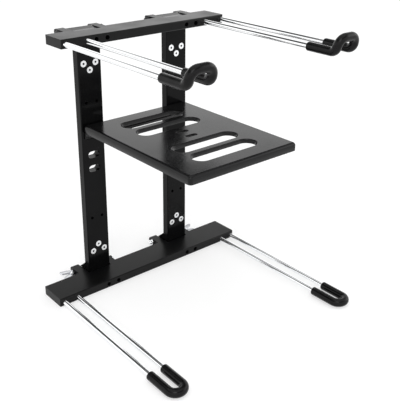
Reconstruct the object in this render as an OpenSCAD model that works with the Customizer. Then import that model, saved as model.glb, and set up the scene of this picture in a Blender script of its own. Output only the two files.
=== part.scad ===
// Folding laptop stand for a DJ booth: two cross bars hinged to a pair of flat uprights,
// pull-out wire legs and arms with rubber boots, and a slotted sheet shelf.
// Millimetres. X runs along the bars, -Y is the front, Z is up, the ground is z = 0.

/* [Bars] */
// Length of the base bar
base_len = 281; // [270:1:340]
// Length of the top bar
top_len = 229; // [226:1:266]
// Front-to-back depth of both bars
bar_d = 38; // [37:0.5:42]
// Set-back of the top bar's front face behind that of the base bar
top_front = 3.2; // [0:0.1:4]
// Thickness of both bars and of their hinge lugs
bar_t = 10.5; // [10:0.1:12]
// Overall height from the ground to the top of the top bar
stand_h = 320; // [300:1:400]
// Edge radius along the front of the bars
bar_edge_r = 1.5; // [0.5:0.1:2.5]
// Corner radius of the bars seen from above
bar_corner_r = 1.2; // [0.5:0.1:4]

/* [Uprights] */
// Distance of each upright's centre line from the middle of the stand
upright_x = 63.6; // [63:0.1:66]
// Width of each upright
upright_w = 31; // [29:0.1:32]
// Depth of each upright
upright_d = 11; // [10.5:0.1:11.4]
// Corner radius of the uprights
upright_r = 1.2; // [0.6:0.1:3]
// Height of the centre of each plain hole pair above the ground
hole_pair_z = 85.3; // [70:0.1:95]
// Spacing of the two holes of a pair
hole_pair_pitch = 14.4; // [12:0.1:16]
// Diameter of the holes of a pair in an upright
hole_pair_bore = 4; // [3:0.1:5]
// Diameter of the hole pairs in the front of the bars
bar_hole_bore = 5.6; // [4:0.1:6]
// Length of the oval slots half way up
oval_len = 16; // [12:0.5:18]
// Height of the oval slots
oval_h = 8.4; // [6:0.1:9]
// Vertical spacing of the two oval slots
oval_pitch = 18; // [14:0.5:24]

/* [Hinges] */
// Distance of the hinge axis behind the front face of the bars
pivot_y = 51.8; // [51.5:0.1:52.6]
// Diameter of the hinge bolts
pivot_d = 5; // [4:0.1:5.4]
// Diametral clearance of the hinge bores
pivot_clear = 0.15; // [0.1:0.01:0.2]
// Width of each hinge lug
lug_w = 10.5; // [8:0.5:14]
// Distance the lugs reach behind the hinge axis
lug_reach = 8.3; // [6:0.1:9]
// Radius of the two rear corners of a lug seen from the side
lug_corner_r = 2.8; // [1:0.1:4]
// Length of the wings of the lower hinge bolts beyond the hub
wing_len = 12; // [10:0.5:18]
// Tip radius of the wings
wing_r = 8; // [7:0.1:8.4]
// Thickness of the wings
wing_t = 2.4; // [1.6:0.1:3]
// Lean of the wings from upright
wing_lean = 70; // [64:1:80]

/* [Legs and arms] */
// Diameter of the bent rods
rod_d = 6; // [5:0.1:6.5]
// Diametral clearance of the rod sockets
rod_clear = 0.12; // [0.06:0.01:0.2]
// Length of rod held inside a bar
rod_grip = 28; // [20:0.5:28.5]
// Centre distance of the leg pairs from the middle of the stand
leg_x = 125.9; // [118:0.1:127]
// Bend radius at the closed end of a leg, half the spacing of its two runs
leg_bend = 9; // [8:0.1:10]
// Reach of the legs in front of the base bar
leg_reach = 210.5; // [160:0.5:260]
// Centre distance of the arm pairs from the middle of the stand
arm_x = 97; // [96.5:0.1:98]
// Half the spacing of the two runs of an arm
arm_half = 13.2; // [12:0.1:13.5]
// Distance from the top bar to the start of the upward bend of an arm
arm_reach = 194; // [150:0.5:230]
// Radius of the upward bend of an arm
hook_bend = 7.5; // [7:0.1:12]
// Angle of the upward bend of an arm
hook_angle = 76; // [60:1:90]
// Corner radius at the closed end of an arm
hook_corner = 9; // [8:0.1:10]
// Outside diameter of the rubber boots on the legs
leg_boot_d = 10; // [9:0.1:10.5]
// Outside diameter of the rubber boots on the arms
arm_boot_d = 9.8; // [8:0.1:10.8]
// Length of straight rod covered by each boot
boot_len = 30.5; // [20:0.5:50]

/* [Shelf] */
// Width of the shelf
shelf_w = 153; // [148:1:156]
// Depth of the shelf
shelf_d = 196; // [180:1:200]
// Height of the shelf's top face
shelf_z = 209; // [195:0.5:220]
// Sheet thickness of the shelf
shelf_t = 2; // [1.5:0.1:2.5]
// Depth of the turned-down rim at the front and sides
rim_h = 9.5; // [8:0.5:14]
// Depth of the rear flange that is screwed to the uprights
rear_flange_h = 18.5; // [16.5:0.5:28]
// Length of the large slots
slot_len = 88; // [60:1:110]
// Width of the large slots
slot_w = 22; // [16:0.5:23]
// Distance of the two inner large slots from the middle of the shelf
slot_inner = 33; // [28:0.5:36]
// Distance of the two outer large slots from the middle of the shelf
slot_outer = 64; // [64:0.5:72]
// Depth of the turned-down lip around the slots
lip_h = 5; // [3:0.5:6]
// Length of the two small slots in the middle
small_slot_len = 16; // [10:0.5:24]
// Width of the two small slots
small_slot_w = 6; // [4.5:0.1:8]
// Height of the shelf screws above the ground
shelf_screw_z = 197; // [196.5:0.5:199]

/* [Hidden] */
$fn = 48;

black_paint = [0.13, 0.13, 0.14];
rubber_black = [0.08, 0.08, 0.08];
bright_chrome = [0.85, 0.86, 0.88];
steel = [0.72, 0.73, 0.75];
nylon = [0.90, 0.89, 0.84];

mid_z = bar_t / 2;                       // axis height of rods and hinge inside a bar
gap = 0.3;                               // air between pieces that move past each other
washer_t = 0.8;
notch_half = upright_w / 2 + 1.4;        // half width of the hinge notch
notch_y = 31.2;                          // front wall of the hinge notch
block_half = notch_half - washer_t - gap;
upright_y = 32;                          // front face of the uprights
upright_back = upright_y + upright_d;
upright_foot = 1.2;                      // the uprights start this far above the ground
lap_y = upright_y + 5.2;                 // the hinge blocks lap into the back of the uprights here
lap_top = 54;
lap_size = [upright_x + upright_w, upright_d, lap_top];
lug_half = notch_half + lug_w;           // half width over the pair of lugs of one hinge
lug_out = upright_x + lug_half;          // outer face of the outer lug
lug_in = upright_x - lug_half;           // inner face of the inner lug
hole_depth = 8;
head_r = 3.85;                           // countersunk heads of the block screws
head_clear = 0.1;
hex_r = 1.45;                            // hexagon sockets of the screws
hex_depth = 1.6;
screw_z1 = 38.5;
screw_z2 = 46.7;
screw_dx = 8;
bore_r = (pivot_d + pivot_clear) / 2;
socket_r = (rod_d + rod_clear) / 2;
hub_r = 4;
rod_r = rod_d / 2;
shelf_y = upright_y;                     // rear face of the shelf's flange
grub_y = 12;                             // grub screws this far behind the front of the base bar
grub_r = 1.5;
screw_r = 2;                             // shank of the hinge block screws
shelf_screw_r = 2;
shelf_head_r = 3.6;
shelf_head_h = 2.2;
hub_len = 5;                             // hub of the wing bolts
nut_r = 4.6;                             // hexagon nuts, across corners
nut_h = 4.6;
dome_r = 3.6;
bolt_head_r = 4.7;
bolt_head_h = 2.6;
bolt_hex_r = 1.75;
bar_hole_depth = 12;                     // accessory holes in the front of the bars
shelf_corner_r = 4;
slot_rows = [slot_outer, slot_inner, -slot_inner, -slot_outer];
small_slot_row = 8;

// ---------- shared shapes ----------

module rounded_rect(w, h, r) {
  square([w - 2 * r, h], center = true);
  square([w, h - 2 * r], center = true);
  for (x = [-1, 1], y = [-1, 1]) translate([x * (w / 2 - r), y * (h / 2 - r)]) circle(r);
}

module obround(len, w) {
  square([len - w, w], center = true);
  for (s = [-1, 1]) translate([s * (len - w) / 2, 0]) circle(w / 2);
}

// cylinder along +X from x0 to x1 about the point (y, z)
module along_x(x0, x1, y, z, r) {
  translate([min(x0, x1), y, z]) rotate([0, 90, 0]) cylinder(h = abs(x1 - x0), r = r);
}

// cylinder along +Y from y0 to y1 about the point (x, z)
module along_y(x, z, y0, y1, r) {
  translate([x, y1, z]) rotate([90, 0, 0]) cylinder(h = y1 - y0, r = r);
}

// places its children in the upper half of the stand by mirroring
module at_top() {
  translate([0, 0, stand_h]) mirror([0, 0, 1]) children();
}

// moves the assembly so that the origin is the middle of the base bar's underside
module in_frame() {
  translate([0, -bar_d / 2, 0]) children();
}

module on_side(s) {
  if (s < 0) mirror([1, 0, 0]) children(); else children();
}

// ---------- cross bars ----------

// outline seen from above: bar, four lugs and two notches
module bar_plan(len, front) {
  difference() {
    union() {
      translate([0, (front + bar_d) / 2]) rounded_rect(len, bar_d - front, bar_corner_r);
      for (s = [-1, 1], t = [-1, 1])
        translate([s * upright_x + t * (notch_half + lug_w / 2) - lug_w / 2, bar_d - 1])
          square([lug_w, 40]);
    }
    for (s = [-1, 1]) translate([s * upright_x - notch_half, notch_y]) square([2 * notch_half, 50]);
  }
}

// outline seen from the end: rounded front edges and rounded rear ends of the lugs
module bar_side(front) {
  rear = pivot_y + lug_reach;
  translate([front + bar_edge_r, 0]) square([rear - lug_corner_r - front - bar_edge_r, bar_t]);
  translate([front, bar_edge_r]) square([bar_d / 2, bar_t - 2 * bar_edge_r]);
  for (z = [bar_edge_r, bar_t - bar_edge_r]) translate([front + bar_edge_r, z]) circle(bar_edge_r);
  translate([pivot_y, lug_corner_r]) square([lug_reach, bar_t - 2 * lug_corner_r]);
  for (z = [lug_corner_r, bar_t - lug_corner_r]) translate([rear - lug_corner_r, z]) circle(lug_corner_r);
}

module bar_blank(len, front, pair_x, pair_half) {
  difference() {
    intersection() {
      linear_extrude(bar_t) bar_plan(len, front);
      translate([-len, 0, 0]) rotate([90, 0, 90]) linear_extrude(2 * len) bar_side(front);
    }
    // rod sockets
    for (s = [-1, 1], t = [-1, 1])
      along_y(s * pair_x + t * pair_half, mid_z, -1, rod_grip + 0.5, socket_r);
    // hinge bores through the lugs
    for (s = [-1, 1])
      along_x(s * upright_x - lug_half - 1, s * upright_x + lug_half + 1, pivot_y, mid_z, bore_r);
    // accessory holes in the front face
    for (s = [-1, 1], t = [-1, 1])
      along_y(s * upright_x + t * hole_pair_pitch / 2, mid_z, -1, front + bar_hole_depth, bar_hole_bore / 2);
  }
}

// holes in the underside of a bar, each meeting a rod socket
module grub_holes(pair_x, pair_half) {
  for (s = [-1, 1], t = [-1, 1])
    translate([s * pair_x + t * pair_half, grub_y, -1]) cylinder(h = mid_z, r = grub_r);
}

module base_bar() {
  color(black_paint) difference() {
    bar_blank(base_len, 0, leg_x, leg_bend);
    grub_holes(leg_x, leg_bend);
  }
}

module top_bar() {
  color(black_paint) difference() {
    at_top() bar_blank(top_len, top_front, arm_x, arm_half);
    translate([0, 0, stand_h - bar_t]) grub_holes(arm_x, arm_half);
  }
}

// ---------- uprights ----------

// outline of an upright seen from above
module upright_plan() {
  translate([upright_x, upright_y + upright_d / 2]) rounded_rect(upright_w, upright_d, upright_r);
}

// children are placed at each of the three screws that hold one hinge block
module at_block_screws() {
  for (p = [[-screw_dx, screw_z1], [screw_dx, screw_z1], [0, screw_z2]])
    translate([upright_x + p[0], upright_y, p[1]]) rotate([-90, 0, 0]) children();
}

module upright() {
  color(black_paint) difference() {
    translate([0, 0, upright_foot]) linear_extrude(stand_h - 2 * upright_foot) upright_plan();
    for (m = [0, 1]) translate([0, 0, m * stand_h]) mirror([0, 0, m]) {
      translate([0, lap_y, 0]) cube(lap_size);
      at_block_screws() {
        cylinder(h = head_r - screw_r, r1 = head_r + head_clear, r2 = screw_r + head_clear);
        cylinder(h = hole_depth, r = screw_r + head_clear);
      }
      for (t = [-1, 1])
        along_y(upright_x + t * hole_pair_pitch / 2, hole_pair_z, upright_y - 1,
          upright_y + hole_depth, hole_pair_bore / 2);
    }
    for (t = [-1, 1]) {
      along_y(upright_x + t * hole_pair_pitch / 2, shelf_screw_z, upright_y - 1,
        upright_y + hole_depth, shelf_screw_r);
      translate([upright_x, upright_back + 1, stand_h / 2 + t * oval_pitch / 2])
        rotate([90, 0, 0]) linear_extrude(upright_d + 2) obround(oval_len, oval_h);
    }
  }
}

module left_upright() { on_side(-1) upright(); }

module right_upright() { on_side(1) upright(); }

// ---------- hinge blocks ----------

module hinge_block() {
  color(black_paint) difference() {
    union() {
      // tongue that laps into the upright
      intersection() {
        translate([0, 0, upright_foot]) linear_extrude(lap_top - upright_foot) upright_plan();
        translate([0, lap_y, 0]) cube(lap_size);
      }
      // knuckle behind it
      translate([upright_x - block_half, 0, 0]) rotate([90, 0, 90]) linear_extrude(2 * block_half) {
        translate([pivot_y, mid_z]) circle(mid_z - 0.2);
        polygon([[upright_back - 1, upright_foot], [pivot_y, 0.25], [pivot_y + 3.2, mid_z + 3.95],
          [upright_back - 1, 20]]);
      }
    }
    along_x(lug_in, lug_out, pivot_y, mid_z, bore_r);
    at_block_screws() cylinder(h = upright_d - 0.8, r = screw_r);
  }
}

module left_base_hinge_block() { on_side(-1) hinge_block(); }

module right_base_hinge_block() { on_side(1) hinge_block(); }

module left_top_hinge_block() { at_top() on_side(-1) hinge_block(); }

module right_top_hinge_block() { at_top() on_side(1) hinge_block(); }

module block_screws() {
  color(steel) at_block_screws() difference() {
    union() {
      cylinder(h = head_r - screw_r, r1 = head_r, r2 = screw_r);
      cylinder(h = upright_d - 1, r = screw_r);
    }
    translate([0, 0, -1]) cylinder(h = 1 + hex_depth, r = hex_r, $fn = 6);
  }
}

module left_base_block_screws() { on_side(-1) block_screws(); }

module right_base_block_screws() { on_side(1) block_screws(); }

module left_top_block_screws() { at_top() on_side(-1) block_screws(); }

module right_top_block_screws() { at_top() on_side(1) block_screws(); }

// ---------- hinge hardware ----------

module wing_bolt() {
  x0 = lug_out + gap;
  color(steel) {
    along_x(lug_in - 5, x0 + 1, pivot_y, mid_z, pivot_d / 2);
    along_x(x0, x0 + hub_len, pivot_y, mid_z, hub_r);
    translate([x0, pivot_y, mid_z]) rotate([-wing_lean, 0, 0]) for (t = [-1, 1])
      translate([0, wing_t / 2, 0]) rotate([90, 0, 0]) linear_extrude(wing_t) {
        polygon([[1.5, 0], [hub_len, 0], [wing_len + 1, t * (wing_r - 5.5)], [wing_len + 4, t * (wing_r - 3)],
          [wing_len + 3, t * wing_r], [8, t * (wing_r - 0.6)], [1.5, t * 3.6]]);
        translate([wing_len + 2, t * (wing_r - 3)]) circle(2.99);
      }
  }
}

module left_wing_bolt() { on_side(-1) wing_bolt(); }

module right_wing_bolt() { on_side(1) wing_bolt(); }

module base_cap_nuts() {
  color(bright_chrome) for (s = [-1, 1]) on_side(s)
    translate([lug_in, pivot_y, mid_z]) rotate([0, -90, 0]) difference() {
      union() {
        cylinder(h = nut_h - 0.6, r = nut_r, $fn = 6);
        cylinder(h = nut_h + 0.4, r = dome_r);
        translate([0, 0, nut_h + 0.4]) cylinder(h = dome_r - 2, r1 = dome_r, r2 = 2);
      }
      translate([0, 0, -1]) cylinder(h = nut_h + 1.8, r = bore_r);
    }
}

module washer_set() {
  for (s = [-1, 1], t = [-1, 1])
    translate([s * upright_x + t * (notch_half - washer_t / 2), pivot_y, mid_z]) rotate([0, 90, 0])
      difference() {
        cylinder(h = washer_t, r = mid_z - 0.4, center = true);
        cylinder(h = washer_t + 1, r = bore_r, center = true);
      }
}

module base_hinge_washers() { color(nylon) washer_set(); }

module top_hinge_washers() { color(nylon) at_top() washer_set(); }

module top_pivot_bolts() {
  color(black_paint) at_top() for (s = [-1, 1]) on_side(s) {
    along_x(lug_in - 5.5, lug_out + 0.5, pivot_y, mid_z, pivot_d / 2);
    translate([lug_out, pivot_y, mid_z]) rotate([0, 90, 0]) difference() {
      cylinder(h = bolt_head_h, r1 = bolt_head_r, r2 = bolt_head_r - 1.5);
      translate([0, 0, bolt_head_h - 1.8]) cylinder(h = 3, r = bolt_hex_r, $fn = 6);
    }
  }
}

module top_pivot_nuts() {
  color(black_paint) at_top() for (s = [-1, 1]) on_side(s)
    translate([lug_in, pivot_y, mid_z]) rotate([0, -90, 0]) difference() {
      cylinder(h = nut_h, r = nut_r, $fn = 6);
      translate([0, 0, -1]) cylinder(h = nut_h + 2, r = pivot_d / 2);
    }
}

// ---------- legs and arms ----------

// centre line of a leg pair about the origin of the pair, swept with radius r
module leg_path(r, y_from) {
  y_end = -(leg_reach - leg_bend);
  for (t = [-1, 1]) along_y(t * leg_bend, 0, y_end, y_from, r);
  translate([0, y_end, 0]) rotate([0, 0, 180])
    rotate_extrude(angle = 180) translate([leg_bend, 0]) circle(r);
}

module leg() {
  color(bright_chrome) translate([leg_x, 0, mid_z]) leg_path(rod_r, rod_grip);
}

module left_leg() { on_side(-1) leg(); }

module right_leg() { on_side(1) leg(); }

module leg_boot() {
  y_end = -(leg_reach - leg_bend);
  color(rubber_black) translate([leg_x, 0, mid_z]) difference() {
    leg_path(leg_boot_d / 2, y_end + boot_len);
    leg_path(rod_r, y_end + boot_len + 1);
  }
}

module left_leg_boot() { on_side(-1) leg_boot(); }

module right_leg_boot() { on_side(1) leg_boot(); }

// centre line of an arm pair: two straight runs, an upward bend and a squared-off closed end
module arm_path(r, y_from) {
  y_bend = -arm_reach;
  for (t = [-1, 1]) {
    along_y(t * arm_half, 0, y_bend, y_from, r);
    translate([t * arm_half, y_bend, hook_bend]) rotate([90, 0, -90]) rotate([0, 0, -90])
      rotate_extrude(angle = hook_angle) translate([hook_bend, 0]) circle(r);
  }
  translate([0, y_bend, hook_bend]) rotate([-hook_angle, 0, 0]) translate([0, 0, -hook_bend])
    for (t = [-1, 1]) {
      translate([t * (arm_half - hook_corner), 0, 0]) rotate([0, 0, t > 0 ? -90 : 180])
        rotate_extrude(angle = 90) translate([hook_corner, 0]) circle(r);
      if (t > 0) translate([-(arm_half - hook_corner), -hook_corner, 0]) rotate([0, 90, 0])
        cylinder(h = 2 * (arm_half - hook_corner), r = r);
    }
}

module arm() {
  color(bright_chrome) translate([arm_x, 0, stand_h - mid_z]) arm_path(rod_r, rod_grip);
}

module left_arm() { on_side(-1) arm(); }

module right_arm() { on_side(1) arm(); }

module arm_boot() {
  color(rubber_black) translate([arm_x, 0, stand_h - mid_z]) difference() {
    arm_path(arm_boot_d / 2, boot_len - arm_reach);
    arm_path(rod_r, boot_len - arm_reach + 1);
  }
}

module left_arm_boot() { on_side(-1) arm_boot(); }

module right_arm_boot() { on_side(1) arm_boot(); }

// grub screws that clamp the rods from below
module grub_set(pair_x, pair_half) {
  color(steel) for (s = [-1, 1], t = [-1, 1])
    translate([s * pair_x + t * pair_half, grub_y, 0.1]) difference() {
      cylinder(h = mid_z - socket_r - gap, r = grub_r);
      translate([0, 0, -1]) cylinder(h = 1.9, r = 0.85, $fn = 6);
    }
}

module base_grub_screws() { grub_set(leg_x, leg_bend); }

module top_grub_screws() {
  translate([0, 0, stand_h - bar_t]) grub_set(arm_x, arm_half);
}

// ---------- shelf ----------

module shelf() {
  yc = shelf_y - shelf_d / 2;
  color(black_paint) translate([0, yc, 0]) difference() {
    union() {
      difference() {
        translate([0, 0, shelf_z - rim_h]) linear_extrude(rim_h) rounded_rect(shelf_w, shelf_d, shelf_corner_r);
        translate([0, 0, shelf_z - rim_h - 1]) linear_extrude(rim_h + 1 - shelf_t)
          rounded_rect(shelf_w - 2 * shelf_t, shelf_d - 2 * shelf_t, shelf_corner_r - shelf_t);
      }
      translate([-shelf_w / 2, shelf_d / 2 - shelf_t, shelf_z - rear_flange_h])
        cube([shelf_w, shelf_t, rear_flange_h - 1]);
      for (row = slot_rows) translate([0, row, shelf_z - lip_h])
        linear_extrude(lip_h) obround(slot_len + 2 * shelf_t, slot_w + 2 * shelf_t);
      for (t = [-1, 1]) translate([0, t * small_slot_row, shelf_z - lip_h])
        linear_extrude(lip_h) obround(small_slot_len + 2 * shelf_t, small_slot_w + 2 * shelf_t);
    }
    for (row = slot_rows) translate([0, row, shelf_z - 10])
      linear_extrude(20) obround(slot_len, slot_w);
    for (t = [-1, 1]) translate([0, t * small_slot_row, shelf_z - 10])
      linear_extrude(20) obround(small_slot_len, small_slot_w);
    for (s = [-1, 1], t = [-1, 1])
      along_y(s * upright_x + t * hole_pair_pitch / 2, shelf_screw_z, shelf_d / 2 - 5, shelf_d / 2 + 1,
        shelf_screw_r + 0.1);
  }
}

module shelf_screws() {
  color(steel) for (s = [-1, 1], t = [-1, 1])
    translate([s * upright_x + t * hole_pair_pitch / 2, shelf_y - shelf_t, shelf_screw_z])
      rotate([-90, 0, 0]) difference() {
        union() {
          translate([0, 0, -shelf_head_h])
            cylinder(h = shelf_head_h, r1 = shelf_head_r - 1, r2 = shelf_head_r);
          cylinder(h = shelf_t + hole_depth - 2, r = shelf_screw_r);
        }
        translate([0, 0, -1 - shelf_head_h]) cylinder(h = 1 + hex_depth, r = hex_r, $fn = 6);
      }
}

// ---------- assembly ----------

in_frame() base_bar();
in_frame() top_bar();
in_frame() left_upright();
in_frame() right_upright();
in_frame() left_base_hinge_block();
in_frame() right_base_hinge_block();
in_frame() left_top_hinge_block();
in_frame() right_top_hinge_block();
in_frame() left_base_block_screws();
in_frame() right_base_block_screws();
in_frame() left_top_block_screws();
in_frame() right_top_block_screws();
in_frame() left_wing_bolt();
in_frame() right_wing_bolt();
in_frame() base_cap_nuts();
in_frame() base_hinge_washers();
in_frame() top_pivot_bolts();
in_frame() top_pivot_nuts();
in_frame() top_hinge_washers();
in_frame() left_leg();
in_frame() right_leg();
in_frame() left_leg_boot();
in_frame() right_leg_boot();
in_frame() left_arm();
in_frame() right_arm();
in_frame() left_arm_boot();
in_frame() right_arm_boot();
in_frame() base_grub_screws();
in_frame() top_grub_screws();
in_frame() shelf();
in_frame() shelf_screws();
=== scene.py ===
"""Looks of the folding laptop stand. Metres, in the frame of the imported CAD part."""

import math

import bpy
import bmesh
from mathutils import Matrix, Vector


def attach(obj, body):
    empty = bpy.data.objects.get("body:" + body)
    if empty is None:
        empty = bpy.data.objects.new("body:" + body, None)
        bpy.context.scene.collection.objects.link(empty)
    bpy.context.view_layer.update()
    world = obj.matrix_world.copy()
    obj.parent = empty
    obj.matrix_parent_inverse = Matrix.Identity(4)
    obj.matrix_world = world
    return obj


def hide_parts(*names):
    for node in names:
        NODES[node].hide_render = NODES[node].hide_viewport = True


MM = 0.001

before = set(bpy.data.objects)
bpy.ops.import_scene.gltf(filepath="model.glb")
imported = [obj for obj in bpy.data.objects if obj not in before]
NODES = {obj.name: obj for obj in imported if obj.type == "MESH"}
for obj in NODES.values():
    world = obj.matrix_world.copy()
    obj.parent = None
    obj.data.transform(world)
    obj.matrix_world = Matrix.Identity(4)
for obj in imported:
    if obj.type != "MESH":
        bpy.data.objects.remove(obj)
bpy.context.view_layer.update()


# ---------------------------------------------------------------- sizes, in millimetres

# bars, uprights and hinges
FRONT = -19.0              # front face of the base bar; the rods of both bars are set from it
TOP = 320.0                # top of the top bar
MID = 5.25                 # rods and hinge axes lie this far inside a bar's outer face
PIVOT_Y = 32.8             # hinge axes
UPRIGHT_X = 63.6           # middle of an upright
UPRIGHT_Y = 13.0           # front face of the uprights
NOTCH_HALF = 16.9          # half the width between the two lugs of a hinge
LUG_W = 10.5               # width of a lug

# rods and the boots on their ends
ROD_R = 3.0
SOCKET_DEPTH = 28.0
LEG_X = 125.9              # middle between the two runs of a leg
LEG_HALF = 9.0             # half the distance between its runs, and the radius of its bend
LEG_END = -229.5           # foremost point of a leg's centre line
ARM_X = 97.0               # middle between the two runs of an arm
ARM_HALF = 13.2            # half the distance between its runs
ARM_BEND_Y = -213.0        # where an arm starts to turn up
HOOK_BEND = 7.5            # radius of that upward bend
HOOK_ANGLE = 76.0          # angle it turns through
HOOK_CORNER = 9.0          # radius of the two corners of the hook
BOOT_LEN = 30.5            # straight part of a boot
LEG_BOOT_R = 5.0
ARM_BOOT_R = 4.9
BOOT_GAP = 0.15            # wall of a boot at its very end
BOOT_LIP = 1.2             # rounding of a boot's ends

# shelf
SHELF_W, SHELF_D = 153.0, 196.0
SHELF_TOP = 209.0
SHEET_T = 2.0
SHELF_CORNER = 4.0         # radius of its corners, seen from above
SHELF_BEND = 3.8           # radius of the bend from the top into the rim
RIM_H = 9.5
FLANGE_H = 18.5            # rear flange, from the top of the shelf to its lower edge
LIP_H = 5.0                # turned-down lip round each slot
SLOT_LEN, SLOT_W = 88.0, 22.0
SLOT_ROLL = 1.4            # radius of the bend from the top into the lip
SLOT_OUTER, SLOT_INNER = 64.0, 33.0
SMALL_SLOT_LEN, SMALL_SLOT_W = 16.0, 6.0
SMALL_SLOT_ROLL = 0.5
SMALL_SLOT_Y = 8.0         # distance of the small slots from the middle of the shelf
SHELF_SCREW_Z = 197.0
SHELF_SCREW_PITCH = 14.4
SHELF_SCREW_HOLE_R = 2.1

# how finely round shapes are divided
ROD_SIDES, BOOT_SIDES = 28, 36
RUN_STEPS = 24             # along a straight run of a rod
LEG_TURN_STEPS = 28
HOOK_STEPS = 16
LIP_STEPS = 6


# ---------------------------------------------------------------- materials

# sockets of a Mix node that mixes colours
MIX_FACTOR, MIX_A, MIX_B, MIX_OUT = 0, 6, 7, 2


def new_material(name):
    mat = bpy.data.materials.new(name)
    mat.use_nodes = True
    return mat, mat.node_tree, mat.node_tree.nodes["Principled BSDF"]


def node(tree, kind, **values):
    """A new node; each value goes to the property or else to the input of that name."""
    n = tree.nodes.new(kind)
    for key, value in values.items():
        if hasattr(n, key):
            setattr(n, key, value)
        else:
            n.inputs[key].default_value = value
    return n


def noise(tree, scale, detail=3.0, stretch=None):
    """Noise in the row frame, in metres. stretch squeezes it along an axis."""
    coords = node(tree, "ShaderNodeTexCoord")
    out = coords.outputs["Object"]
    if stretch:
        mapping = node(tree, "ShaderNodeMapping")
        mapping.inputs["Scale"].default_value = stretch
        tree.links.new(out, mapping.inputs["Vector"])
        out = mapping.outputs["Vector"]
    n = node(tree, "ShaderNodeTexNoise", Scale=scale, Detail=detail, Roughness=0.55)
    tree.links.new(out, n.inputs["Vector"])
    return n.outputs["Fac"]


def ramp(tree, source, low, high, start=0.35, stop=0.65):
    """low where the source is at start, high where it is at stop."""
    r = node(tree, "ShaderNodeMapRange")
    r.inputs["From Min"].default_value = start
    r.inputs["From Max"].default_value = stop
    r.inputs["To Min"].default_value = low
    r.inputs["To Max"].default_value = high
    tree.links.new(source, r.inputs["Value"])
    return r.outputs["Result"]


def mix_colour(tree, factor, a, b):
    """a where factor is 0 and b where it is 1; each is a colour or an output socket."""
    m = node(tree, "ShaderNodeMix", data_type="RGBA")
    tree.links.new(factor, m.inputs[MIX_FACTOR])
    for value, index in ((a, MIX_A), (b, MIX_B)):
        if isinstance(value, tuple):
            m.inputs[index].default_value = (*value, 1)
        else:
            tree.links.new(value, m.inputs[index])
    return m.outputs[MIX_OUT]


def mottled(tree, colours, scale, detail=3.0):
    """Two colours in soft patches."""
    return mix_colour(tree, ramp(tree, noise(tree, scale, detail), 0.0, 1.0), *colours)


def uneven_gloss(tree, shader, rough, scale, detail=3.0):
    """Roughness that wanders between the two values of rough."""
    tree.links.new(ramp(tree, noise(tree, scale, detail), *rough), shader.inputs["Roughness"])


def edges(tree, radius=0.0006):
    """1 along outside edges, 0 on flat faces, broken up by fine noise."""
    rounded = node(tree, "ShaderNodeBevel", samples=6)
    rounded.inputs["Radius"].default_value = radius
    geometry = node(tree, "ShaderNodeNewGeometry")
    dot = node(tree, "ShaderNodeVectorMath", operation="DOT_PRODUCT")
    tree.links.new(rounded.outputs["Normal"], dot.inputs[0])
    tree.links.new(geometry.outputs["Normal"], dot.inputs[1])
    worn = ramp(tree, dot.outputs["Value"], 1.0, 0.0, start=0.80, stop=0.97)
    broken = ramp(tree, noise(tree, 220.0, 4.0), 0.0, 1.0, start=0.48, stop=0.60)
    m = node(tree, "ShaderNodeMath", operation="MULTIPLY")
    tree.links.new(worn, m.inputs[0])
    tree.links.new(broken, m.inputs[1])
    return m.outputs[0]


def bump(tree, shader, height, strength, distance):
    b = node(tree, "ShaderNodeBump")
    b.inputs["Strength"].default_value = strength
    b.inputs["Distance"].default_value = distance
    tree.links.new(height, b.inputs["Height"])
    tree.links.new(b.outputs["Normal"], shader.inputs["Normal"])


def paint(name, colours, rough, ior, worn=(0.06, 0.06, 0.062)):
    """Black powder coat: slight mottling, orange peel and thin wear along the edges."""
    mat, tree, shader = new_material(name)
    coat = mix_colour(tree, edges(tree), mottled(tree, colours, 38.0), worn)
    tree.links.new(coat, shader.inputs["Base Color"])
    uneven_gloss(tree, shader, rough, 22.0, 5.0)
    shader.inputs["IOR"].default_value = ior
    bump(tree, shader, noise(tree, 900.0, 2.0), strength=0.05, distance=0.00003)
    return mat


def metal(name, colours, rough, grain, strength, stretch=(1.0, 1.0, 1.0)):
    """Bare or plated metal with a fine grain, which stretch draws out into scratches."""
    mat, tree, shader = new_material(name)
    shader.inputs["Metallic"].default_value = 1.0
    streaks = noise(tree, grain, 4.0, stretch)
    tree.links.new(mix_colour(tree, ramp(tree, streaks, 0.0, 1.0), *colours),
                   shader.inputs["Base Color"])
    uneven_gloss(tree, shader, rough, 60.0, 5.0)
    bump(tree, shader, streaks, strength, distance=0.00005)
    return mat


def screw_steel(name):
    """Bright screw heads; their sockets, set in behind the upright's front face, get a painted
    shade of near-black colour in place of the shade inside the recess.
    """
    # depths behind the upright's front face where the painted socket shade starts and where it is
    # full
    shade_from, shade_full = 0.00012, 0.0003      # metres behind that face
    mat, tree, shader = new_material(name)
    shader.inputs["Metallic"].default_value = 1.0
    place = node(tree, "ShaderNodeTexCoord")
    axes = node(tree, "ShaderNodeSeparateXYZ")
    tree.links.new(place.outputs["Object"], axes.inputs[0])
    front = UPRIGHT_Y * MM
    # painted shade: surfaces set in behind the upright's front face fade to near black, standing
    # in for the shade inside each socket
    painted_socket_shade = ramp(tree, axes.outputs["Y"], 0.0, 1.0, front + shade_from, front + shade_full)
    grain = mottled(tree, ((0.84, 0.85, 0.86), (0.93, 0.94, 0.95)), 900.0, 4.0)
    # the near-black colour here is the painted shade of the socket, not a finish of the steel
    tree.links.new(mix_colour(tree, painted_socket_shade, grain, (0.012, 0.012, 0.013)),
                   shader.inputs["Base Color"])
    uneven_gloss(tree, shader, (0.30, 0.45), 400.0, 4.0)
    return mat


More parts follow.
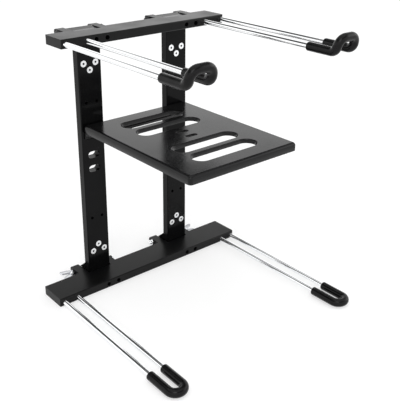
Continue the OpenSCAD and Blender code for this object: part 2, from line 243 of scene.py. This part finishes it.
def rubber(name):
    """Black moulded rubber with a fine bumpy skin."""
    mat, tree, shader = new_material(name)
    tree.links.new(mottled(tree, ((0.0018, 0.0018, 0.0019), (0.0045, 0.0045, 0.0047)), 120.0, 5.0),
                   shader.inputs["Base Color"])
    uneven_gloss(tree, shader, (0.16, 0.26), 70.0, 5.0)
    shader.inputs["IOR"].default_value = 1.26
    bump(tree, shader, noise(tree, 1200.0, 3.0), strength=0.15, distance=0.00004)
    return mat


def plastic(name):
    """Cream nylon."""
    mat, tree, shader = new_material(name)
    tree.links.new(mottled(tree, ((0.66, 0.65, 0.58), (0.74, 0.73, 0.67)), 200.0),
                   shader.inputs["Base Color"])
    uneven_gloss(tree, shader, (0.45, 0.60), 150.0)
    bump(tree, shader, noise(tree, 2000.0), strength=0.1, distance=0.0001)
    return mat


BARS = paint("bar_paint", ((0.002, 0.002, 0.0021), (0.0035, 0.0035, 0.0037)),
             rough=(0.28, 0.38), ior=1.26)
BLACK = paint("black_paint", ((0.0018, 0.0018, 0.0019), (0.003, 0.003, 0.0032)),
              rough=(0.12, 0.18), ior=1.20)
SHEET = paint("sheet_paint", ((0.0035, 0.0035, 0.0037), (0.006, 0.006, 0.0063)),
              rough=(0.16, 0.24), ior=1.29)
DARK_STEEL = paint("black_zinc", ((0.012, 0.012, 0.013), (0.02, 0.02, 0.021)),
                   rough=(0.22, 0.34), ior=1.40, worn=(0.20, 0.20, 0.21))
CHROME = metal("bright_chrome", ((0.86, 0.87, 0.88), (0.93, 0.94, 0.95)),
               rough=(0.04, 0.08), grain=300.0, strength=0.004, stretch=(6.0, 0.25, 6.0))
STEEL = metal("zinc_steel", ((0.80, 0.81, 0.82), (0.90, 0.91, 0.92)),
              rough=(0.24, 0.38), grain=900.0, strength=0.10)
SCREW = screw_steel("screw_steel")
CAST = metal("cast_zinc", ((0.58, 0.59, 0.61), (0.74, 0.75, 0.77)),
             rough=(0.22, 0.36), grain=500.0, strength=0.22)
RUBBER = rubber("black_rubber")
NYLON = plastic("nylon")


# ---------------------------------------------------------------- mesh helpers

WELD_GAP = 1e-6            # metres; points closer than this are one point


def add(name, verts, faces, mat, body, angle=32.0):
    """A mesh from millimetre vertices, sharp beyond angle and riding on a CAD body."""
    mesh = bpy.data.meshes.new(name)
    mesh.from_pydata([Vector(v) * MM for v in verts], [], faces)
    b = bmesh.new()
    b.from_mesh(mesh)
    bmesh.ops.remove_doubles(b, verts=b.verts, dist=WELD_GAP)
    bmesh.ops.recalc_face_normals(b, faces=b.faces)
    b.to_mesh(mesh)
    b.free()
    for p in mesh.polygons:
        p.use_smooth = True
    mesh.set_sharp_from_angle(angle=math.radians(angle))
    mesh.materials.append(mat)
    obj = bpy.data.objects.new(name, mesh)
    bpy.context.scene.collection.objects.link(obj)
    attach(obj, body)
    return obj


def ring_faces(rings, sides, capped=True):
    """Faces between rings of vertices that follow each other, with flat ends if capped."""
    faces = []
    for i in range(rings - 1):
        for k in range(sides):
            a, b = i * sides + k, i * sides + (k + 1) % sides
            faces.append((a, b, b + sides, a + sides))
    if capped:
        faces.append(tuple(range(sides))[::-1])
        last = (rings - 1) * sides
        faces.append(tuple(range(last, last + sides)))
    return faces


def circle(sides):
    """Cosine and sine for each side of a circle."""
    turn = [2 * math.pi * k / sides for k in range(sides)]
    return [(math.cos(a), math.sin(a)) for a in turn]


def sweep(path, radii, sides):
    """Tube through path with one radius per point; its ends are closed."""
    verts = []
    normal = None
    for i, p in enumerate(path):
        ahead = path[min(i + 1, len(path) - 1)] - path[max(i - 1, 0)]
        tangent = ahead.normalized()
        if normal is None:
            normal = tangent.orthogonal().normalized()
        normal = (normal - tangent * normal.dot(tangent)).normalized()
        side = tangent.cross(normal)
        verts += [p + (normal * ca + side * sa) * radii[i] for ca, sa in circle(sides)]
    return verts, ring_faces(len(path), sides)


def lathe(profile, sides, place):
    """Profile of (radius, height) pairs turned about Z, then moved by the matrix place."""
    verts = [place @ Vector((r * ca, r * sa, h)) for r, h in profile for ca, sa in circle(sides)]
    return verts, ring_faces(len(profile), sides)


def joined(parts):
    """One list of vertices and one of faces from several."""
    verts, faces = [], []
    for v, f in parts:
        base = len(verts)
        verts += v
        faces += [tuple(base + i for i in face) for face in f]
    return verts, faces


def mirrored(verts, side):
    """The right-hand vertices for side 1, their mirror images for side -1."""
    return [Vector((v.x * side, v.y, v.z)) for v in verts]


SIDES = ((-1, "left"), (1, "right"))


# ---------------------------------------------------------------- CAD nodes kept as they are

BEVEL_SEGMENTS = 3
BEVEL_FROM = 40            # degrees; flatter edges keep their shape


def dress(name, mat, bevel):
    """Material, welded vertices and a small edge radius on a CAD node."""
    obj = NODES[name]
    obj.data.materials.clear()
    obj.data.materials.append(mat)
    weld = obj.modifiers.new("weld", "WELD")
    weld.merge_threshold = WELD_GAP
    if bevel:
        b = obj.modifiers.new("edge", "BEVEL")
        b.width = bevel * MM
        b.segments = BEVEL_SEGMENTS
        b.limit_method = "ANGLE"
        b.angle_limit = math.radians(BEVEL_FROM)
        b.use_clamp_overlap = True
        b.harden_normals = True
        b.miter_outer = "MITER_ARC"


def finish_of(name):
    """Material and edge radius, in millimetres, of a CAD node."""
    if name.endswith("_bar"):
        return BARS, 0.45
    if name.endswith(("upright", "hinge_block")):
        return BLACK, 0.3
    if name.startswith("top_pivot"):
        return DARK_STEEL, 0.2
    if name.endswith("washers"):
        return NYLON, 0.0
    if name.endswith("block_screws"):
        return SCREW, 0.0
    if name == "shelf_screws":
        return DARK_STEEL, 0.12
    if name.endswith("screws"):
        return STEEL, 0.12
    if name.endswith("boot"):
        return RUBBER, 0.0
    if name.endswith(("leg", "arm")):
        return CHROME, 0.0
    return STEEL, 0.0


for name in NODES:
    dress(name, *finish_of(name))


# ---------------------------------------------------------------- rods and boots

X, Y, Z = Vector((1, 0, 0)), Vector((0, 1, 0)), Vector((0, 0, 1))


def arc(centre, u, v, radius, start, stop, steps):
    """Points of an arc from angle start to stop in the plane of u and v."""
    out = []
    for i in range(steps + 1):
        a = math.radians(start + (stop - start) * i / steps)
        out.append(centre + (u * math.cos(a) + v * math.sin(a)) * radius)
    return out


def straight(a, b, steps):
    """Points from a towards b, without b itself."""
    return [a.lerp(b, i / steps) for i in range(steps)]


def leg_line(start_y):
    """Centre line of the right leg: out from start_y, round its bend and back."""
    end_y = LEG_END + LEG_HALF
    a = Vector((LEG_X - LEG_HALF, start_y, MID))
    b = Vector((LEG_X + LEG_HALF, start_y, MID))
    turn = arc(Vector((LEG_X, end_y, MID)), X, Y, LEG_HALF, 180, 360, LEG_TURN_STEPS)
    return straight(a, turn[0], RUN_STEPS) + turn + straight(turn[-1], b, RUN_STEPS)[1:] + [b]


def arm_line(start_y):
    """Centre line of the right arm: out, up over the hook, across and back."""
    z = TOP - MID
    slope = math.radians(HOOK_ANGLE)
    up = Vector((0, -math.cos(slope), math.sin(slope)))
    start = Vector((ARM_X - ARM_HALF, start_y, z))
    bend_centre = Vector((ARM_X - ARM_HALF, ARM_BEND_Y, z + HOOK_BEND))
    bend = arc(bend_centre, -Z, -Y, HOOK_BEND, 0, HOOK_ANGLE, HOOK_STEPS)
    half = straight(start, bend[0], RUN_STEPS) + bend
    half += arc(bend[-1] + X * HOOK_CORNER, -X, up, HOOK_CORNER, 0, 90, HOOK_STEPS)[1:]
    other = [Vector((2 * ARM_X - p.x, p.y, p.z)) for p in reversed(half)]
    return half + other


def boot_radii(path, radius, bore):
    """Radii along a boot, which starts and ends in lips rounded down to its bore."""
    total = [0.0]
    for a, b in zip(path, path[1:]):
        total.append(total[-1] + (b - a).length)
    radii = []
    for s in total:
        edge = min(s, total[-1] - s)
        if edge >= BOOT_LIP:
            radii.append(radius)
        else:
            rise = math.sqrt(max(0.0, 1 - (1 - edge / BOOT_LIP) ** 2))
            radii.append(bore + (radius - bore) * rise)
    return radii


def dense_ends(path):
    """The path with extra points near both ends, for the rounded lips of a boot."""
    first = (path[1] - path[0]).normalized()
    last = (path[-2] - path[-1]).normalized()
    steps = [BOOT_LIP * (1 - math.cos(math.pi / 2 * i / LIP_STEPS)) for i in range(LIP_STEPS + 1)]
    head = [path[0] + first * s for s in steps]
    tail = [path[-1] + last * s for s in steps]
    clear = BOOT_LIP * 1.3
    middle = [p for p in path[1:-1]
              if (p - path[0]).length > clear and (p - path[-1]).length > clear]
    return head + middle + tail[::-1]


def rods():
    kinds = (("leg", leg_line, LEG_BOOT_R, LEG_END + LEG_HALF),
             ("arm", arm_line, ARM_BOOT_R, ARM_BEND_Y))
    for side, word in SIDES:
        for kind, line, boot_r, bend_y in kinds:
            body = f"{word}_{kind}_pair"
            path = line(FRONT + SOCKET_DEPTH)
            v, f = sweep(path, [ROD_R] * len(path), ROD_SIDES)
            rod = add(f"{word}_{kind}_rod", mirrored(v, side), f, CHROME, body)
            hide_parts(f"{word}_{kind}")
            path = dense_ends(line(bend_y + BOOT_LEN))
            v, f = sweep(path, boot_radii(path, boot_r, ROD_R + BOOT_GAP), BOOT_SIDES)
            boot = add(f"{word}_{kind}_rubber", mirrored(v, side), f, RUBBER, body,
                       50)
            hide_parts(f"{word}_{kind}_boot")


rods()


# ---------------------------------------------------------------- shelf

def ring(half_w, half_d, radius, steps=8):
    """Rounded rectangle as (x, y, normal x, normal y), anticlockwise."""
    out = []
    for cx, cy, a0 in ((1, 1, 0), (-1, 1, 90), (-1, -1, 180), (1, -1, 270)):
        for i in range(steps + 1):
            a = math.radians(a0 + 90 * i / steps)
            nx, ny = math.cos(a), math.sin(a)
            out.append((cx * (half_w - radius) + nx * radius,
                        cy * (half_d - radius) + ny * radius, nx, ny))
    return out


def skirt(path, centre, profile, z0):
    """Faces that follow path; profile holds (offset along the normal, height below z0)."""
    verts = [Vector((centre[0] + x + nx * off, centre[1] + y + ny * off, z0 - down))
             for off, down in profile for x, y, nx, ny in path]
    return verts, ring_faces(len(profile), len(path), capped=False)


def quarter(radius, way, step):
    """Profile of a bend from level to straight down, outwards or inwards by way."""
    angles = [math.radians(a) for a in range(0, 91, step)]
    return [(way * radius * (1 - math.sin(a)), radius * (1 - math.cos(a))) for a in angles]


def flat_with_holes(outer, holes, z):
    """A flat face with holes, as triangles."""
    b = bmesh.new()
    all_edges = []
    for loop in [outer] + holes:
        vs = [b.verts.new((x, y, z)) for x, y in loop]
        all_edges += [b.edges.new((vs[i], vs[(i + 1) % len(vs)])) for i in range(len(vs))]
    bmesh.ops.triangle_fill(b, use_beauty=True, use_dissolve=False, edges=all_edges)
    b.verts.index_update()
    verts = [v.co.copy() for v in b.verts]
    faces = [tuple(v.index for v in f.verts) for f in b.faces]
    b.free()
    return verts, faces


def sheet_metal(obj, offset):
    """Gives a surface the thickness of the sheet; offset says on which side."""
    solid = obj.modifiers.new("sheet", "SOLIDIFY")
    solid.thickness = SHEET_T * MM
    solid.offset = offset
    return solid


def shelf_tray():
    """Top face with its slots, the rounded rim and a lip round each slot."""
    end_gap = 1e-4         # a hair of straight end between a slot's two corners
    yc = UPRIGHT_Y - SHELF_D / 2
    outline = ring(SHELF_W / 2, SHELF_D / 2, SHELF_CORNER)
    parts = [skirt(outline, (0, yc), quarter(SHELF_BEND, -1, 10) + [(0.0, RIM_H)], SHELF_TOP)]
    slots = [(row, SLOT_LEN, SLOT_W, SLOT_ROLL)
             for row in (SLOT_OUTER, SLOT_INNER, -SLOT_INNER, -SLOT_OUTER)]
    slots += [(row, SMALL_SLOT_LEN, SMALL_SLOT_W, SMALL_SLOT_ROLL)
              for row in (SMALL_SLOT_Y, -SMALL_SLOT_Y)]
    holes = []
    for row, length, slot_w, roll in slots:
        path = ring(length / 2, slot_w / 2, slot_w / 2 - end_gap, 14)
        parts.append(skirt(path, (0, yc + row), quarter(roll, 1, 15) + [(0.0, LIP_H)], SHELF_TOP))
        holes.append([(x + nx * roll, yc + row + y + ny * roll) for x, y, nx, ny in path])
    inner = [(x - nx * SHELF_BEND, yc + y - ny * SHELF_BEND) for x, y, nx, ny in outline]
    parts.append(flat_with_holes(inner, holes, SHELF_TOP))
    v, f = joined(parts)
    tray = add("shelf_tray", v, f, SHEET, "uprights", 40)
    solid = sheet_metal(tray, -1.0)
    solid.use_even_offset = True
    solid.use_quality_normals = True
    flat = tray.modifiers.new("normals", "WEIGHTED_NORMAL")
    flat.keep_sharp = True
    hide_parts("shelf")


def shelf_flange():
    """Rear flange that goes down behind the rim, with its four screw holes."""
    inset, chamfer = 1.0, 1.0
    tucked = 4.0           # its upper edge is hidden this far below the top of the shelf
    low, high = SHELF_TOP - FLANGE_H, SHELF_TOP - tucked
    edge = SHELF_W / 2 - inset
    loop = [(-edge, low + chamfer), (-edge + chamfer, low), (edge - chamfer, low),
            (edge, low + chamfer), (edge, high), (-edge, high)]
    circles = []
    for s in (-1, 1):
        for t in (-1, 1):
            cx = s * UPRIGHT_X + t * SHELF_SCREW_PITCH / 2
            circles.append([(cx + SHELF_SCREW_HOLE_R * ca, SHELF_SCREW_Z + SHELF_SCREW_HOLE_R * sa)
                            for ca, sa in circle(24)])
    v, f = flat_with_holes(loop, circles, 0.0)
    v = [Vector((p.x, UPRIGHT_Y - SHEET_T / 2, p.y)) for p in v]
    back = add("shelf_flange", v, f, SHEET, "uprights", 40)
    sheet_metal(back, 0.0)


shelf_tray()
shelf_flange()


# ---------------------------------------------------------------- wing bolts and cap nuts

WING_LEAN = 70.0           # degrees from upright of the line through both wings
WING_STEPS = 14            # slices along a wing
WING_ROOT, WING_SPAN = 1.8, 15.2      # start and length of a wing, out along the axis
WING_ROOT_Z, WING_RISE = 1.6, 3.8     # its distance from the axis at the root, and the rise
WING_HALF_W, WING_BULGE = 2.6, 0.5    # half width, and how much wider it is half way
WING_TIP, WING_TAPER = 0.92, 14.0     # where the tip starts to close, and how fast
WING_ROOT_T, WING_THINNING = 1.25, 0.25
WING_SIDES = 20
WING_GAP = 0.3             # between the outer lug and the hub


def squared(value, power):
    """A sine or cosine pushed outwards, which squares up a circle."""
    return math.copysign(abs(value) ** power, value)


def wing_slices():
    """Slices of a wing as (distance along the axis, height, half width, half thickness)."""
    out = []
    for i in range(WING_STEPS + 1):
        s = i / WING_STEPS
        half_w = WING_HALF_W + WING_BULGE * math.sin(math.pi * s)
        if s >= WING_TIP:
            half_w = WING_HALF_W - (s - WING_TIP) * WING_TAPER
        out.append((WING_ROOT + WING_SPAN * s, WING_ROOT_Z + WING_RISE * s ** 0.8, half_w,
                    WING_ROOT_T - WING_THINNING * s))
    return out


def wing(centre, way):
    """One wing of a wing bolt, on the side of the hub given by way."""
    lean = Matrix.Rotation(math.radians(-WING_LEAN), 3, "X")
    verts = []
    for x, z, half_w, half_t in wing_slices():
        for ca, sa in circle(WING_SIDES):
            flat = Vector((x, half_t * squared(sa, 0.6), way * z + half_w * squared(ca, 0.8)))
            verts.append(centre + (lean @ flat))
    return verts, ring_faces(WING_STEPS + 1, WING_SIDES)


def wing_bolts():
    hub_outline = [(3.6, 0.0), (4.0, 0.4), (4.0, 3.2), (3.7, 4.6), (2.9, 5.6), (1.6, 6.0)]
    shank_outline = [(2.5, -60.0), (2.5, 0.5)]
    centre = Vector((UPRIGHT_X + NOTCH_HALF + LUG_W + WING_GAP, PIVOT_Y, MID))
    place = Matrix.Translation(centre) @ Matrix.Rotation(math.radians(90), 4, "Y")
    for side, word in SIDES:
        v, f = joined([lathe(hub_outline, 32, place), lathe(shank_outline, 24, place),
                       wing(centre, -1), wing(centre, 1)])
        bolt = add(f"{word}_wing", mirrored(v, side), f, CAST, f"{word}_wing", 45)
        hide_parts(f"{word}_wing_bolt")


wing_bolts()


def cap_nuts():
    """A hexagon nut with a round cap on the inner side of each lower hinge."""
    hexagon_outline = [(4.2, 0.0), (4.55, 0.3), (4.55, 2.9), (4.1, 3.3)]
    cap_r, cap_start, cap_h = 3.6, 3.2, 3.3
    cap_outline = [(cap_r, 2.9)]
    for a in range(0, 86, 8):
        slope = math.radians(a)
        cap_outline.append((cap_r * math.cos(slope), cap_start + cap_h * math.sin(slope)))
    inner = UPRIGHT_X - NOTCH_HALF - LUG_W
    turn = Matrix.Rotation(math.radians(-90), 4, "Y")
    place = Matrix.Translation((inner, PIVOT_Y, MID)) @ turn
    parts = []
    for side in (-1, 1):
        v, f = joined([lathe(hexagon_outline, 6, place), lathe(cap_outline, 32, place)])
        parts.append((mirrored(v, side), f))
    v, f = joined(parts)
    nuts = add("base_nuts", v, f, CHROME, "base", 30)
    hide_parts("base_cap_nuts")


cap_nuts()


# ---------------------------------------------------------------- studio

FLOOR_SIZE = 12.0          # metres


def floor():
    """A plain pale floor that glows a little, so that it stays even and white."""
    mat, _, shader = new_material("floor_white")
    shader.inputs["Base Color"].default_value = (0.55, 0.55, 0.55, 1)
    shader.inputs["Roughness"].default_value = 0.9
    shader.inputs["Specular IOR Level"].default_value = 0.0
    shader.inputs["Emission Color"].default_value = (1, 1, 1, 1)
    shader.inputs["Emission Strength"].default_value = 0.48
    h = FLOOR_SIZE / 2
    mesh = bpy.data.meshes.new("floor")
    mesh.from_pydata([(-h, -h, 0), (h, -h, 0), (h, h, 0), (-h, h, 0)], [], [(0, 1, 2, 3)])
    mesh.materials.append(mat)
    obj = bpy.data.objects.new("floor", mesh)
    bpy.context.scene.collection.objects.link(obj)


def studio_world():
    """Bright wall up to 27 degrees, a dark gap from 40 to 49 and a bright ceiling from 55."""
    # (sine of the elevation, brightness)
    stops = [(0.0, 1.4), (0.46, 1.4), (0.60, 0.50), (0.64, 0.06), (0.76, 0.06), (0.82, 1.3),
             (1.0, 1.3)]
    world = bpy.data.worlds.new("studio")
    world.use_nodes = True
    tree = world.node_tree
    coords = node(tree, "ShaderNodeTexCoord")
    parts = node(tree, "ShaderNodeSeparateXYZ")
    tree.links.new(coords.outputs["Generated"], parts.inputs[0])
    band = node(tree, "ShaderNodeValToRGB")
    while len(band.color_ramp.elements) < len(stops):
        band.color_ramp.elements.new(0.5)
    for element, (at, value) in zip(band.color_ramp.elements, stops):
        element.position = at
        element.color = (value, value, value, 1)
    tree.links.new(parts.outputs["Z"], band.inputs["Fac"])
    tree.links.new(band.outputs["Color"], tree.nodes["Background"].inputs["Color"])
    tree.nodes["Background"].inputs["Strength"].default_value = 1.0
    bpy.context.scene.world = world


def area(name, place, target, size, power):
    """A square soft light at place that points to target."""
    light = bpy.data.lights.new(name, "AREA")
    light.shape = "SQUARE"
    light.size = size
    light.energy = power
    obj = bpy.data.objects.new(name, light)
    bpy.context.scene.collection.objects.link(obj)
    obj.location = place
    obj.rotation_euler = (Vector(target) - Vector(place)).to_track_quat("-Z", "Y").to_euler()


def view():
    """The camera, to the left of the stand and looking down on it."""
    looks_down, looks_right = 22.81, 38.98
    camera = bpy.data.cameras.new("camera")
    camera.lens = 62.83
    camera.sensor_width = 36.0
    camera.shift_x = 0.0508
    camera.shift_y = -0.0848
    obj = bpy.data.objects.new("camera", camera)
    bpy.context.scene.collection.objects.link(obj)
    obj.location = (-0.4764, -0.6609, 0.4825)
    obj.rotation_euler = (math.radians(90 - looks_down), 0, math.radians(-looks_right))
    bpy.context.scene.camera = obj


floor()
studio_world()
area("key", place=(-1.2, -1.4, 1.9), target=(0, -0.05, 0.1), size=1.1, power=14.0)
area("fill", place=(1.7, -0.9, 1.3), target=(0, -0.05, 0.15), size=1.4, power=7.0)
bpy.context.scene.view_settings.view_transform = "Standard"
view()
